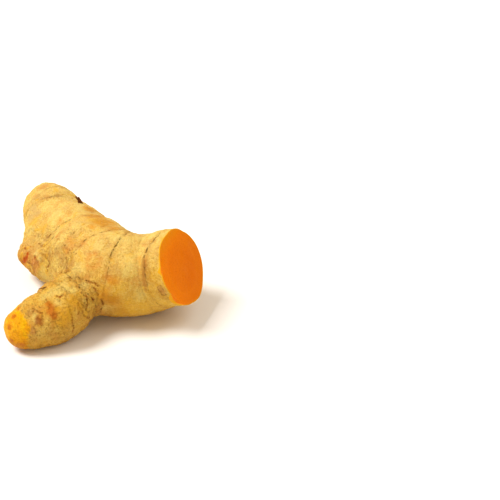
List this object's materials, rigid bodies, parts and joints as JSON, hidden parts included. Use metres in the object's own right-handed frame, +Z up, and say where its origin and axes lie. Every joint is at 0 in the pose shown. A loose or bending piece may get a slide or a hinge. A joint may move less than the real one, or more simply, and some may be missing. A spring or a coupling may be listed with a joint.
{
  "type": "turmeric rhizome",
  "caption": "Fresh turmeric rhizome: a stout knobbly trunk that forks into a blunt lobe and a short finger, ringed with nodes and cut clean across one end.",
  "frame": {"origin": "centre of the bounding box, on the surface that the rhizome lies on", "axes": "+Z up from that surface, +X along the trunk towards the cut end, +Y back along the long lobe, away from the finger"},
  "size_m": [0.0568, 0.0712, 0.0273],
  "materials": {
    "skin": "satin"
  },
  "bodies": {
    "root": {"turmeric_rhizome": "skin"}
  },
  "joints": []
}
